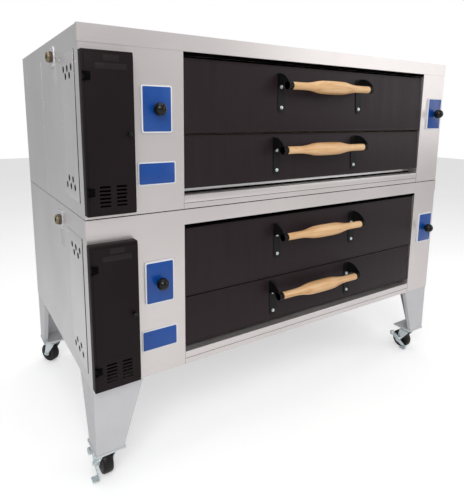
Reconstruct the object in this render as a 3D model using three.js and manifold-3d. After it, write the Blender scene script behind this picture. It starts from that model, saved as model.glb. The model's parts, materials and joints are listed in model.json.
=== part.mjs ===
// Double-stacked gas deck oven on tapered legs with casters.
// Millimetres, +Z up. Each deck is drawn in its own frame: x from its left side, y from its front
// towards its back, z from its bottom. The finished oven is centred over the floor at the end.
import * as THREE from 'three';
import { mergeVertices } from 'three/addons/utils/BufferGeometryUtils.js';
import Module from 'manifold-3d';

const wasm = await Module();
wasm.setup();

// ---------------------------------------------------------------- driving dimensions
const WIDTH = 1981;
const DEPTH = 1092;
const DECK_HEIGHT = 635;
const CABINET_BOTTOM = 406;
const SHEET = 2;
const GAP = 0.3;
const ROUND = 12;

const BAND_HEIGHT = 57;
const BAND_WRAP = 22;
const FASCIA_FRONT = 2;

const OPENING = { left: 372, right: 1796, bottom: 54, top: 577 };
const JAMB_DEPTH = 46;
const LINTEL_DROP = 14;

const CHAMBER = { left: 320, right: 1848, front: 50, back: 960, bottom: 44, top: 586 };
const CHAMBER_SILL = 76;
const HEARTH_TOP = 300;
const HEARTH_THICKNESS = 38;

const DOOR_LEAN = THREE.MathUtils.degToRad(3);
const DOOR_THICKNESS = 26;
const DOOR_SIDE_GAP = 3;
const BAKE_DOOR = { bottom: 286, height: 273, bolt: 185.6, handleLeft: 832.8, handleRight: 1304.7 };
const BURNER_DOOR = { bottom: 80, height: 200, bolt: 129.5, handleLeft: 814.7, handleRight: 1288 };
const DOOR_PIVOT = 7;
const DOOR_PIN_RADIUS = 4;

const HANDLE_REACH = 63;
const BOLT_SPACING = 84;
const STRAP_WIDTH = 36;
const STRAP_END = 22;
const BRACKET_SHEET = 3;
const BRACKET_RISE = 55;
const FERRULE_RADIUS = 16.5;
const FERRULE_LENGTH = 21;
const HANDLE_ROD_RADIUS = 6;

const COVER = { left: 0, right: 170, bottom: 18, top: 553, depth: 32.2, rim: 14 };
const CONTROL_DOOR = { left: 9, right: 169, bottom: 29, top: 543, front: -35, thickness: 2.5 };
const CONTROL_HINGE = { x: 9, y: -39, inset: 82, half: 14, barrelHalf: 9, radius: 3.6, pin: 1.6 };
const LATCH = { x: 148, z: 288, radius: 4, knobRadius: 7, knobLength: 17, camReach: 16 };
const PLATE = { width: 116, height: 164, bottom: 290, depth: 8 };
const PLATE_CENTRES = [264, 1902];
const PLATE_CORNER = 8;
const BADGE = { left: 190, right: 336, bottom: 104, top: 187 };

const DAMPER_ROD_RADIUS = 5;
const DAMPER_BALL_RADIUS = 23.5;
const DAMPER_BALL_Y = -31;
const FLUE_SLOT = { front: 700, back: 745, bottom: 330, top: 410 };
const FLUE_COLLAR = { halfWidth: 150, bottom: 490, top: 560, proud: 10, clearance: 3 };

const GAS_INLET = { y: 375, z: 568 };
const PIPE_RADIUS = 13;
const RISER = { x: 100, y: 150 };
const BURNER_Z = 120;
const BURNER = { count: 5, radius: 22, inset: 180, pitch: 290 };
const MANIFOLD_LEFT = CHAMBER.left - 90;
const DIAL = { x: 85, z: 325, radius: 32 };

const VENT_PANEL = { front: 62, back: 268, bottom: 52, top: 560 };

const LEG_HEIGHT = 258;
const LEG_SHEET = 3;
const LEG_INSET_X = 3;
const LEG_INSET_Y = 6;
const LEG_PAD = 8;
const WHEEL_RADIUS = 51;
const WHEEL_WIDTH = 42;
const CASTER_TRAIL = 32;
const CASTER_OFFSET = { x: 59, y: 62 };
const FORK_GAP = 48;
const FORK_SHEET = 3;
const BRAKE = { x: -42, thickness: 3, low: { y: -21, z: 18 }, high: { y: 66, z: 84 }, knobRadius: 14 };

// ---------------------------------------------------------------- finishes
const FINISH = {
  stainless: { color: '#cdc8c6', roughness: 0.35, metalness: 0.9 },
  sideSteel: { color: '#b4b2b2', roughness: 0.45, metalness: 0.8 },
  innerSteel: { color: '#8f8b86', roughness: 0.5, metalness: 0.8 },
  doorBlack: { color: '#302a2e', roughness: 0.45, metalness: 0.4 },
  coverBlack: { color: '#282122', roughness: 0.5, metalness: 0.2 },
  bracketBlack: { color: '#1a191a', roughness: 0.45, metalness: 0.3 },
  blue: { color: '#1440a5', roughness: 0.35, metalness: 0 },
  ballBlack: { color: '#141416', roughness: 0.25, metalness: 0 },
  wood: { color: '#e4b47d', roughness: 0.6, metalness: 0 },
  stone: { color: '#b9a58a', roughness: 0.9, metalness: 0 },
  iron: { color: '#3a3836', roughness: 0.7, metalness: 0.6 },
  brass: { color: '#a58b52', roughness: 0.4, metalness: 0.8 },
  legPaint: { color: '#bebec3', roughness: 0.4, metalness: 0.3 },
  zinc: { color: '#b7c4c8', roughness: 0.35, metalness: 0.8 },
  rubber: { color: '#151416', roughness: 0.8, metalness: 0 },
};

// ---------------------------------------------------------------- solids and booleans
function solid(geometry) {
  const bare = geometry.index ? geometry : geometry.clone();
  bare.deleteAttribute('normal');
  bare.deleteAttribute('uv');
  const merged = mergeVertices(bare, 1e-4);
  return new wasm.Manifold(new wasm.Mesh({
    numProp: 3,
    vertProperties: new Float32Array(merged.attributes.position.array),
    triVerts: new Uint32Array(merged.index.array),
  }));
}

const join = (...parts) => parts.reduce((whole, part) => whole.add(part));
const cut = (body, ...tools) => tools.reduce((rest, tool) => rest.subtract(tool), body);

function mesh(name, body, finish) {
  const { vertProperties, triVerts, numProp } = body.getMesh();
  const geometry = new THREE.BufferGeometry();
  const positions = new Float32Array((vertProperties.length / numProp) * 3);
  for (let i = 0; i < positions.length / 3; i += 1) {
    positions.set(vertProperties.subarray(i * numProp, i * numProp + 3), i * 3);
  }
  geometry.setAttribute('position', new THREE.BufferAttribute(positions, 3));
  geometry.setIndex(new THREE.BufferAttribute(new Uint32Array(triVerts), 1));
  geometry.computeVertexNormals();
  const item = new THREE.Mesh(geometry, new THREE.MeshStandardMaterial(FINISH[finish]));
  item.name = name;
  return item;
}

function box(x0, x1, y0, y1, z0, z1) {
  const geometry = new THREE.BoxGeometry(x1 - x0, y1 - y0, z1 - z0);
  return solid(geometry.translate((x0 + x1) / 2, (y0 + y1) / 2, (z0 + z1) / 2));
}

// A round bar along one axis, from one coordinate to another, centred on the other two.
function bar(axis, radius, from, to, a, b, segments = ROUND) {
  const geometry = new THREE.CylinderGeometry(radius, radius, to - from, segments);
  const middle = (from + to) / 2;
  if (axis === 'x') return solid(geometry.rotateZ(Math.PI / 2).translate(middle, a, b));
  if (axis === 'y') return solid(geometry.translate(a, middle, b));
  return solid(geometry.rotateX(Math.PI / 2).translate(a, b, middle));
}

// A flat shape drawn in one plane and given thickness across it.
const PLANES = {
  xy: new THREE.Matrix4(),
  yz: new THREE.Matrix4().makeBasis(
    new THREE.Vector3(0, 1, 0), new THREE.Vector3(0, 0, 1), new THREE.Vector3(1, 0, 0)),
  xz: new THREE.Matrix4().makeBasis(
    new THREE.Vector3(1, 0, 0), new THREE.Vector3(0, 0, 1), new THREE.Vector3(0, -1, 0)),
};

function slab(shape, plane, from, to, curveSegments = 3) {
  const options = { depth: to - from, bevelEnabled: false, curveSegments };
  const geometry = new THREE.ExtrudeGeometry(shape, options);
  geometry.translate(0, 0, plane === 'xz' ? -to : from);
  return solid(geometry.applyMatrix4(PLANES[plane]));
}

function polygon(points) {
  return new THREE.Shape(points.map(([x, y]) => new THREE.Vector2(x, y)));
}

function roundedRectangle(x0, x1, y0, y1, radius) {
  const shape = new THREE.Shape();
  shape.moveTo(x0 + radius, y0);
  shape.lineTo(x1 - radius, y0);
  shape.absarc(x1 - radius, y0 + radius, radius, -Math.PI / 2, 0);
  shape.lineTo(x1, y1 - radius);
  shape.absarc(x1 - radius, y1 - radius, radius, 0, Math.PI / 2);
  shape.lineTo(x0 + radius, y1);
  shape.absarc(x0 + radius, y1 - radius, radius, Math.PI / 2, Math.PI);
  shape.lineTo(x0, y0 + radius);
  shape.absarc(x0 + radius, y0 + radius, radius, Math.PI, Math.PI * 1.5);
  return shape;
}

// A turned piece about the x axis: [distance along x, radius] pairs that close on themselves.
function turnedAboutX(profile, segments = 16) {
  const points = profile.map(([along, radius]) => new THREE.Vector2(radius, along));
  return solid(new THREE.LatheGeometry([...points, points[0].clone()], segments).rotateZ(-Math.PI / 2));
}

const mirrored = (body) => body.mirror([1, 0, 0]);

// ---------------------------------------------------------------- cabinet of one deck
function casing() {
  const top = DECK_HEIGHT - GAP;
  const shell = box(SHEET, WIDTH - SHEET, FASCIA_FRONT + SHEET + GAP, DEPTH, GAP, top);
  const hollow = box(2 * SHEET, WIDTH - 2 * SHEET, 0, DEPTH - SHEET, GAP + SHEET, top - SHEET);
  const margin = 12;
  const hatch = box(0, 10, VENT_PANEL.front + margin, VENT_PANEL.back - margin,
    VENT_PANEL.bottom + margin, VENT_PANEL.top - margin);
  const inletHole = bar('x', PIPE_RADIUS + 4, 0, 10, GAS_INLET.y, GAS_INLET.z);
  const fluePassage = flueDuct(FLUE_COLLAR.clearance, DEPTH - 20, DEPTH + 20);
  return cut(shell, hollow, hatch, inletHole, fluePassage);
}

// A square duct on the flue's centre line, larger than the collar by a margin on every side.
function flueDuct(margin, front, back) {
  const halfWidth = FLUE_COLLAR.halfWidth + margin;
  return box(WIDTH / 2 - halfWidth, WIDTH / 2 + halfWidth, front, back,
    FLUE_COLLAR.bottom - margin, FLUE_COLLAR.top + margin);
}

function fascia() {
  const back = FASCIA_FRONT + SHEET;
  const face = box(SHEET, WIDTH - SHEET, FASCIA_FRONT, back, GAP, DECK_HEIGHT - GAP);
  const { left, right, bottom, top } = OPENING;
  const jambBack = FASCIA_FRONT + JAMB_DEPTH;
  const frame = box(left - SHEET, right + SHEET, back - 1, jambBack, bottom - SHEET, top + SHEET);
  const doorway = box(left, right, -10, jambBack + 10, bottom, top);
  const lintel = box(left - 1, right + 1, back, back + SHEET, top - LINTEL_DROP, top + 1);
  const lip = 22;
  const controlAccess = box(COVER.left + lip, COVER.right - lip, -10, 20,
    COVER.bottom + lip, COVER.top - lip);
  const rodZ = PLATE.bottom + PLATE.height / 2;
  const rodHoles = PLATE_CENTRES.map((x) => bar('y', DAMPER_ROD_RADIUS + 3, -10, 20, x, rodZ));
  const pinY = FASCIA_FRONT + DOOR_PIVOT;
  const pinHoles = [BAKE_DOOR, BURNER_DOOR].map((leaf) =>
    bar('x', DOOR_PIN_RADIUS + 0.6, left - 20, right + 20, pinY, leaf.bottom + DOOR_PIVOT));
  return cut(join(cut(join(face, frame), doorway), lintel), controlAccess, ...rodHoles, ...pinHoles);
}

function topBand() {
  const thickness = FASCIA_FRONT - GAP;
  const bottom = DECK_HEIGHT - BAND_HEIGHT;
  const front = box(0, WIDTH, 0, thickness, bottom, DECK_HEIGHT);
  const left = box(0, thickness, 0, BAND_WRAP, bottom, DECK_HEIGHT);
  const right = box(WIDTH - thickness, WIDTH, 0, BAND_WRAP, bottom, DECK_HEIGHT);
  return join(front, left, right);
}

function ventPanel() {
  const { front, back, bottom, top } = VENT_PANEL;
  const panel = box(GAP, SHEET - GAP, front, back, bottom, top);
  const rows = [
    { z: top - 53, ys: [96, 150, 204] },
    { z: top - 78, ys: [123, 177] },
    { z: bottom + 72, ys: [140, 194] },
    { z: bottom + 45, ys: [116, 170, 224] },
  ];
  const holeRadius = 12.5;
  const holes = rows.flatMap(({ z, ys }) => ys.map((y) => bar('x', holeRadius, -5, 10, y, z, 8)));
  return cut(panel, ...holes);
}

function bakingChamber() {
  const { left, right, front, back, bottom, top } = CHAMBER;
  const shell = box(left, right, front, back, bottom, top);
  const hollow = box(left + SHEET, right - SHEET, front + SHEET, back - SHEET, bottom + SHEET, top - SHEET);
  const mouthLip = 4;
  const mouth = box(OPENING.left + mouthLip, OPENING.right - mouthLip, front - 5, front + 5,
    CHAMBER_SILL, OPENING.top - mouthLip / 2);
  const ledgeTop = HEARTH_TOP - HEARTH_THICKNESS - GAP;
  const ledge = { width: 30, thickness: 4 };
  const ledgeBottom = ledgeTop - ledge.thickness;
  const ledges = [
    box(left + 1, left + ledge.width, front + 1, back - 1, ledgeBottom, ledgeTop),
    box(right - ledge.width, right - 1, front + 1, back - 1, ledgeBottom, ledgeTop),
    box(left + 1, right - 1, back - ledge.width, back - 1, ledgeBottom, ledgeTop),
  ];
  const flue = flueDuct(0, back - 1, DEPTH + FLUE_COLLAR.proud);
  const flueBore = flueDuct(-SHEET, back - 10, DEPTH + FLUE_COLLAR.proud + 10);
  const slots = box(left - 10, right + 10, FLUE_SLOT.front, FLUE_SLOT.back, FLUE_SLOT.bottom, FLUE_SLOT.top);
  const burnerHole = bar('x', PIPE_RADIUS + 5, left - 10, left + 10, RISER.y, BURNER_Z);
  return cut(join(cut(shell, hollow, mouth), ...ledges, flue), flueBore, slots, burnerHole);
}

function hearthStone() {
  return box(CHAMBER.left + 6, CHAMBER.right - 6, CHAMBER.front + 10, CHAMBER.back - 6,
    HEARTH_TOP - HEARTH_THICKNESS, HEARTH_TOP);
}

// ---------------------------------------------------------------- gas and heat
function burner() {
  const { count, radius, inset, pitch } = BURNER;
  const manifold = bar('x', PIPE_RADIUS + 2, MANIFOLD_LEFT, CHAMBER.right - 90, RISER.y, BURNER_Z);
  const first = CHAMBER.left + inset;
  const last = first + (count - 1) * pitch;
  const centres = Array.from({ length: count }, (_, i) => first + i * pitch);
  const tubes = centres.map((x) => bar('y', radius, RISER.y, CHAMBER.back - 70, x, BURNER_Z, 8));
  const railBack = CHAMBER.back - 110;
  const railFront = railBack - 20;
  const rail = box(first - 60, last + 60, railFront, railBack, BURNER_Z - 40, BURNER_Z - 16);
  const feet = [first - 55, last + 35].map((x) =>
    box(x, x + 20, railFront, railBack, CHAMBER.bottom + SHEET + GAP, BURNER_Z - 30));
  return join(manifold, ...tubes, rail, ...feet);
}

function gasTrain() {
  const { x, y } = RISER;
  const inlet = bar('x', PIPE_RADIUS, -20, x, GAS_INLET.y, GAS_INLET.z);
  const union = bar('x', 23, -22, -GAP, GAS_INLET.y, GAS_INLET.z, 6);
  const bore = bar('x', 10, -40, 20, GAS_INLET.y, GAS_INLET.z, 8);
  const plate = { halfWidth: 30, halfHeight: 38 };
  const flange = box(-GAP - 1, SHEET - GAP, GAS_INLET.y - plate.halfWidth, GAS_INLET.y + plate.halfWidth,
    GAS_INLET.z - plate.halfHeight, GAS_INLET.z + plate.halfHeight);
  const crossPipe = bar('y', PIPE_RADIUS, y, GAS_INLET.y + PIPE_RADIUS, x, GAS_INLET.z, 8);
  const riser = bar('z', PIPE_RADIUS, BURNER_Z - PIPE_RADIUS, GAS_INLET.z + PIPE_RADIUS, x, y, 8);
  const feed = bar('x', PIPE_RADIUS, x, MANIFOLD_LEFT - 1, y, BURNER_Z, 8);
  const valve = box(x - 36, x + 36, y - 34, y + 34, 400, 500);
  const thermostat = box(DIAL.x - 40, DIAL.x + 40, 70, y, DIAL.z - 45, DIAL.z + 45);
  const stem = bar('y', 4, 22, 72, DIAL.x, DIAL.z, 8);
  return cut(join(inlet, union, flange, crossPipe, riser, feed, valve, thermostat, stem), bore);
}

function thermostatDial() {
  const skirt = bar('y', DIAL.radius, 34, 38, DIAL.x, DIAL.z, 16);
  const body = bar('y', DIAL.radius - 9, 16, 35, DIAL.x, DIAL.z, 12);
  const grip = box(DIAL.x - 5, DIAL.x + 5, 8, 20, DIAL.z - 22, DIAL.z + 22);
  const bore = bar('y', 4.4, 20, 50, DIAL.x, DIAL.z, 8);
  return cut(join(skirt, body, grip), bore);
}

// ---------------------------------------------------------------- controls
// A box with a wide mouth in its front, and half of each hinge on the margin left of the door.
function controlCover() {
  const { left, right, bottom, top, depth, rim } = COVER;
  const back = FASCIA_FRONT - GAP;
  const shell = box(left, right, -depth, back, bottom, top);
  const hollow = box(left + SHEET, right - SHEET, -depth + SHEET, back + 5, bottom + SHEET, top - SHEET);
  const mouth = box(left + rim, right - rim, -depth - 5, -depth + 5, bottom + rim, top - rim);
  const { x, y, half, barrelHalf, radius, pin } = CONTROL_HINGE;
  const ends = [[-half, -barrelHalf - GAP], [barrelHalf + GAP, half]];
  const knuckles = hingeHeights().flatMap((z) => ends.flatMap(([low, high]) => [
    box(left, x - GAP, y - radius, -depth + 1, z + low, z + high),
    bar('z', radius, z + low, z + high, x, y, 8),
  ]));
  const pins = hingeHeights().map((z) => bar('z', pin, z - half + 1, z + half - 1, x, y, 6));
  return join(cut(shell, hollow, mouth), ...knuckles, ...pins);
}

function hingeHeights() {
  return [COVER.bottom + CONTROL_HINGE.inset, COVER.top - CONTROL_HINGE.inset];
}

// A flat door laid over the cover's front, with the other half of each hinge and two rows of slots.
function controlDoor() {
  const { left, right, bottom, top, front, thickness } = CONTROL_DOOR;
  const back = front + thickness;
  const { x, y, half, barrelHalf, radius, pin } = CONTROL_HINGE;
  const clear = 1;
  const leafWidth = 9.5;
  const notches = hingeHeights().map((z) =>
    box(left - 1, x + radius + clear, front - 1, back + 1, z - half - clear, z + half + clear));
  const panel = cut(box(left, right, front, back, bottom, top), ...notches);
  const hinges = hingeHeights().flatMap((z) => [
    bar('z', radius, z - barrelHalf, z + barrelHalf, x, y, 8),
    box(x, x + leafWidth, y - radius, back, z - barrelHalf, z + barrelHalf),
  ]);
  const pinBores = hingeHeights().map((z) => bar('z', pin + 0.5, z - half, z + half, x, y, 6));
  const slot = { halfWidth: 18.5, height: 6.5, first: COVER.bottom + 30, pitch: 12.8, columns: [61, 118.5] };
  const slots = slot.columns.flatMap((centre) => [0, 1, 2, 3, 4, 5].map((row) => {
    const z = slot.first + row * slot.pitch;
    return box(centre - slot.halfWidth, centre + slot.halfWidth, front - 5, back + 5, z, z + slot.height);
  }));
  const latchHole = bar('y', LATCH.radius + 0.6, front - 5, back + 5, LATCH.x, LATCH.z, 8);
  return cut(join(panel, ...hinges), ...pinBores, ...slots, latchHole);
}

// At rest the cam hangs clear of the cover's rim; a quarter turn brings it behind the rim.
function controlLatch() {
  const { x, z, radius, knobRadius, knobLength, camReach } = LATCH;
  const front = CONTROL_DOOR.front - 0.5;
  const camFront = -COVER.depth + 6;
  const knob = bar('y', knobRadius, front - knobLength, front - 4, x, z);
  const collar = bar('y', knobRadius - 1.5, front - 5, front, x, z);
  const spindle = bar('y', radius, front - 1, camFront + 2, x, z, 8);
  const cam = box(x - 4, x + 4, camFront, camFront + 3, z - camReach, z + 5);
  return join(knob, collar, spindle, cam);
}

function controlPlate(centre) {
  const { width, height, bottom, depth } = PLATE;
  const outline = roundedRectangle(centre - width / 2, centre + width / 2, bottom, bottom + height,
    PLATE_CORNER);
  const plate = slab(outline, 'xz', -depth + FASCIA_FRONT, FASCIA_FRONT - GAP);
  const rodHole = bar('y', DAMPER_ROD_RADIUS + 0.5, -20, 10, centre, bottom + height / 2);
  return cut(plate, rodHole);
}

function badgePlate() {
  const { left, right, bottom, top } = BADGE;
  return slab(roundedRectangle(left, right, bottom, top, PLATE_CORNER), 'xz', -0.8, FASCIA_FRONT - GAP);
}

// The rod runs back beside the baking chamber to a blade that covers the flue slot in its side wall.
function damperKnob(centre, inward) {
  const z = PLATE.bottom + PLATE.height / 2;
  const armY = FLUE_SLOT.back + 20;
  const wall = inward > 0 ? CHAMBER.left : CHAMBER.right;
  const bladeX = [wall - inward * 3, wall - inward * 6].sort((a, b) => a - b);
  const armX = [centre, bladeX[inward > 0 ? 1 : 0]].sort((a, b) => a - b);
  const sphere = new THREE.SphereGeometry(DAMPER_BALL_RADIUS, 14, 10);
  const ball = solid(sphere.translate(centre, DAMPER_BALL_Y, z));
  const rod = bar('y', DAMPER_ROD_RADIUS, DAMPER_BALL_Y, armY, centre, z, 8);
  const arm = box(armX[0], armX[1], armY - 8, armY, z - 8, z + 8);
  const blade = box(bladeX[0], bladeX[1], FLUE_SLOT.front - 15, armY,
    FLUE_SLOT.bottom - 12, FLUE_SLOT.top + 12);
  return join(ball, rod, arm, blade);
}

// ---------------------------------------------------------------- doors, drawn flat in a door frame:
// y = 0 is the front face, z = 0 the bottom edge; the group that holds them leans them back.
function door({ height }) {
  const left = OPENING.left + DOOR_SIDE_GAP;
  const right = OPENING.right - DOOR_SIDE_GAP;
  const shell = box(left, right, 0, DOOR_THICKNESS, 0, height);
  const hollow = box(left + SHEET, right - SHEET, SHEET, DOOR_THICKNESS - SHEET, SHEET, height - SHEET);
  const vents = [0.2, 0.4, 0.6, 0.8].map((share) => {
    const middle = left + (right - left) * share;
    return box(middle - 40, middle + 40, DOOR_THICKNESS - 5, DOOR_THICKNESS + 5, 20, 28);
  });
  const pins = [
    bar('x', DOOR_PIN_RADIUS, left - 9, left + 1, DOOR_PIVOT, DOOR_PIVOT, 8),
    bar('x', DOOR_PIN_RADIUS, right - 1, right + 9, DOOR_PIVOT, DOOR_PIVOT, 8),
  ];
  return join(cut(shell, hollow, ...vents), ...pins);
}

function bracketArm() {
  const reach = HANDLE_REACH;
  const shape = new THREE.Shape();
  shape.moveTo(-GAP, BRACKET_RISE);
  shape.bezierCurveTo(-28, BRACKET_RISE, -58, 44, -reach - 15, 8);
  shape.absarc(-reach, 0, FERRULE_RADIUS, Math.PI - 0.4, Math.PI * 2 - 0.3);
  shape.bezierCurveTo(-reach + 12, 14, -26, 18, -GAP, -6);
  return shape;
}

// One bracket: strap on the door, arm on the strap's outer edge, ferrule that holds the grip.
function handleBracket(bolt) {
  const half = STRAP_WIDTH / 2;
  const outline = roundedRectangle(-half, half, bolt - BOLT_SPACING - STRAP_END, bolt + BRACKET_RISE, 14);
  const strap = slab(outline, 'xz', -GAP - BRACKET_SHEET, -GAP, 2);
  const arm = slab(bracketArm(), 'yz', -half, -half + BRACKET_SHEET).translate([0, 0, bolt]);
  const ferruleEnd = -half + BRACKET_SHEET + FERRULE_LENGTH;
  const ferrule = bar('x', FERRULE_RADIUS, -half, ferruleEnd, -HANDLE_REACH, bolt);
  return join(strap, arm, ferrule);
}

function handleFrame({ bolt, handleLeft, handleRight }) {
  const left = handleBracket(bolt).translate([handleLeft, 0, 0]);
  const right = mirrored(handleBracket(bolt)).translate([handleRight, 0, 0]);
  const rod = bar('x', HANDLE_ROD_RADIUS, handleLeft, handleRight, -HANDLE_REACH, bolt, 8);
  return join(left, right, rod);
}

function grip({ bolt, handleLeft, handleRight }) {
  const inset = -STRAP_WIDTH / 2 + BRACKET_SHEET + FERRULE_LENGTH + GAP;
  const half = (handleRight - handleLeft) / 2 - inset;
  const bore = HANDLE_ROD_RADIUS + GAP;
  const side = [[1, 15.5], [0.66, 15.8], [0.46, 21], [0.3, 27]];
  const profile = [
    [-half, bore],
    ...side.map(([share, radius]) => [-half * share, radius]),
    ...side.map(([share, radius]) => [half * share, radius]).reverse(),
    [half, bore],
  ];
  return turnedAboutX(profile, 14).translate([(handleLeft + handleRight) / 2, -HANDLE_REACH, bolt]);
}

// ---------------------------------------------------------------- legs and casters
// Front left leg, drawn with its outer corner at x = 0, y = 0 and its top at z = 0.
function cornerLeg() {
  const top = { x: 190, y: 182 };
  const foot = { x: 106, y: 92 };
  const flange = 20;
  const face = (footWidth, topWidth) =>
    polygon([[0, -LEG_HEIGHT], [footWidth, -LEG_HEIGHT], [topWidth, 0], [0, 0]]);
  const frontFace = slab(face(foot.x, top.x), 'xz', 0, LEG_SHEET);
  const sideFace = slab(face(foot.y, top.y), 'yz', 0, LEG_SHEET);
  const frontReturn = slab(polygon([
    [foot.x - LEG_SHEET, -LEG_HEIGHT], [foot.x, -LEG_HEIGHT], [top.x, 0], [top.x - LEG_SHEET, 0],
  ]), 'xz', 0, flange);
  const sideReturn = slab(polygon([
    [foot.y - LEG_SHEET, -LEG_HEIGHT], [foot.y, -LEG_HEIGHT], [top.y, 0], [top.y - LEG_SHEET, 0],
  ]), 'yz', 0, flange);
  const mountingOutline = polygon([[0, 0], [top.x, 0], [top.x, 30], [30, top.y], [0, top.y]]);
  const mounting = slab(mountingOutline, 'xy', -LEG_SHEET, 0);
  const plate = { proud: 3, inner: 112 };
  const pad = box(-plate.proud, plate.inner, -plate.proud, plate.inner,
    -LEG_HEIGHT - LEG_PAD, -LEG_HEIGHT + 0.5);
  const boltHoles = [[100, 100], [100, 12], [12, 100]].map(([x, y]) =>
    bar('z', 4.5, -LEG_HEIGHT - 20, -LEG_HEIGHT + 10, x, y, 6));
  return cut(join(frontFace, sideFace, frontReturn, sideReturn, mounting, pad), ...boltHoles);
}

// Caster pieces are drawn about their swivel axis, with the wheel trailing towards +y.
function casterFork() {
  const top = CABINET_BOTTOM - LEG_HEIGHT - LEG_PAD - GAP;
  const crown = 118;
  const race = bar('z', 27, crown, top, 0, 0, 16);
  const half = FORK_GAP / 2 + FORK_SHEET;
  const bridge = box(-half, half, -24, 34, crown - 4, crown + 1);
  const cheekShape = polygon([
    [-24, crown], [34, crown], [CASTER_TRAIL + 14, WHEEL_RADIUS - 6], [CASTER_TRAIL + 6, WHEEL_RADIUS - 14],
    [CASTER_TRAIL - 6, WHEEL_RADIUS - 14], [CASTER_TRAIL - 14, WHEEL_RADIUS - 6],
  ]);
  const cheeks = [
    slab(cheekShape, 'yz', -half, -half + FORK_SHEET),
    slab(cheekShape, 'yz', half - FORK_SHEET, half),
  ];
  const axle = bar('x', 5, BRAKE.x + BRAKE.thickness, half + 8, CASTER_TRAIL, WHEEL_RADIUS, 8);
  const nut = bar('x', 9, half - 0.5, half + 8, CASTER_TRAIL, WHEEL_RADIUS, 6);
  return join(race, bridge, ...cheeks, axle, nut);
}

function casterWheel() {
  const half = WHEEL_WIDTH / 2;
  const profile = [
    [-half - 2.5, 5.6], [-half - 2.5, 16], [-half, 18], [-half, WHEEL_RADIUS - 5],
    [-half + 6, WHEEL_RADIUS], [half - 6, WHEEL_RADIUS], [half, WHEEL_RADIUS - 5],
    [half, 18], [half + 2.5, 16], [half + 2.5, 5.6],
  ];
  return turnedAboutX(profile, 20).translate([0, CASTER_TRAIL, WHEEL_RADIUS]);
}

// Side brake: a rocker on the axle's end, with a pedal at its low end and a knob at its high end.
function casterBrake() {
  const { x, thickness, low, high, knobRadius } = BRAKE;
  const inner = -FORK_GAP / 2 - FORK_SHEET - 0.6;
  const hub = bar('x', 12, x, inner, CASTER_TRAIL, WHEEL_RADIUS);
  const rocker = slab(polygon([
    [low.y - 5, low.z], [low.y + 9, low.z - 2], [CASTER_TRAIL + 7, WHEEL_RADIUS - 10],
    [high.y + 8, high.z - 7], [high.y - 5, high.z + 8], [CASTER_TRAIL - 7, WHEEL_RADIUS + 10],
    [low.y - 3, low.z + 11],
  ]), 'yz', x, x + thickness);
  const pedal = box(x - 24, x + 1, low.y - 10, low.y + 24, low.z, low.z + 3.5);
  const knob = bar('x', knobRadius, x - 16, x + 1, high.y, high.z);
  const cap = bar('x', 9, x - 8, x + 1, CASTER_TRAIL, WHEEL_RADIUS, 6);
  const bore = bar('x', 5.5, x + 1, inner + 5, CASTER_TRAIL, WHEEL_RADIUS, 8);
  return cut(join(hub, rocker, pedal, knob, cap), bore);
}

// ---------------------------------------------------------------- assembly
function doorGroup(prefix, name, size) {
  const group = new THREE.Group();
  group.add(mesh(`${prefix}_${name}_door`, door(size), 'doorBlack'));
  group.add(mesh(`${prefix}_${name}_handle_frame`, handleFrame(size), 'bracketBlack'));
  group.add(mesh(`${prefix}_${name}_grip`, grip(size), 'wood'));
  // The lean turns the door about its pivot, so the pins stay in the jamb holes.
  const lean = new THREE.Vector3(0, DOOR_PIVOT, DOOR_PIVOT);
  lean.applyAxisAngle(new THREE.Vector3(1, 0, 0), -DOOR_LEAN);
  group.rotation.x = -DOOR_LEAN;
  group.position.set(0, FASCIA_FRONT + DOOR_PIVOT - lean.y, size.bottom + DOOR_PIVOT - lean.z);
  return group;
}

function deck(prefix) {
  const group = new THREE.Group();
  const add = (name, body, finish) => group.add(mesh(`${prefix}_${name}`, body, finish));
  add('casing', casing(), 'sideSteel');
  add('fascia', fascia(), 'stainless');
  add('top_band', topBand(), 'stainless');
  add('vent_panel', ventPanel(), 'sideSteel');
  add('baking_chamber', bakingChamber(), 'innerSteel');
  add('hearth_stone', hearthStone(), 'stone');
  add('burner', burner(), 'iron');
  add('gas_train', gasTrain(), 'brass');
  add('thermostat_dial', thermostatDial(), 'ballBlack');
  add('control_cover', controlCover(), 'coverBlack');
  add('control_door', controlDoor(), 'coverBlack');
  add('control_latch', controlLatch(), 'bracketBlack');
  add('control_plate_left', controlPlate(PLATE_CENTRES[0]), 'blue');
  add('control_plate_right', controlPlate(PLATE_CENTRES[1]), 'blue');
  add('damper_knob_left', damperKnob(PLATE_CENTRES[0], 1), 'ballBlack');
  add('damper_knob_right', damperKnob(PLATE_CENTRES[1], -1), 'ballBlack');
  add('badge_plate', badgePlate(), 'blue');
  group.add(doorGroup(prefix, 'bake', BAKE_DOOR));
  group.add(doorGroup(prefix, 'burner', BURNER_DOOR));
  return group;
}

const CORNERS = [
  { name: 'front_left', right: false, rear: false, swivel: 0, brake: true },
  { name: 'front_right', right: true, rear: false, swivel: 0, brake: true },
  { name: 'rear_left', right: false, rear: true, swivel: 30, brake: false },
  { name: 'rear_right', right: true, rear: true, swivel: 30, brake: false },
];

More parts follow.
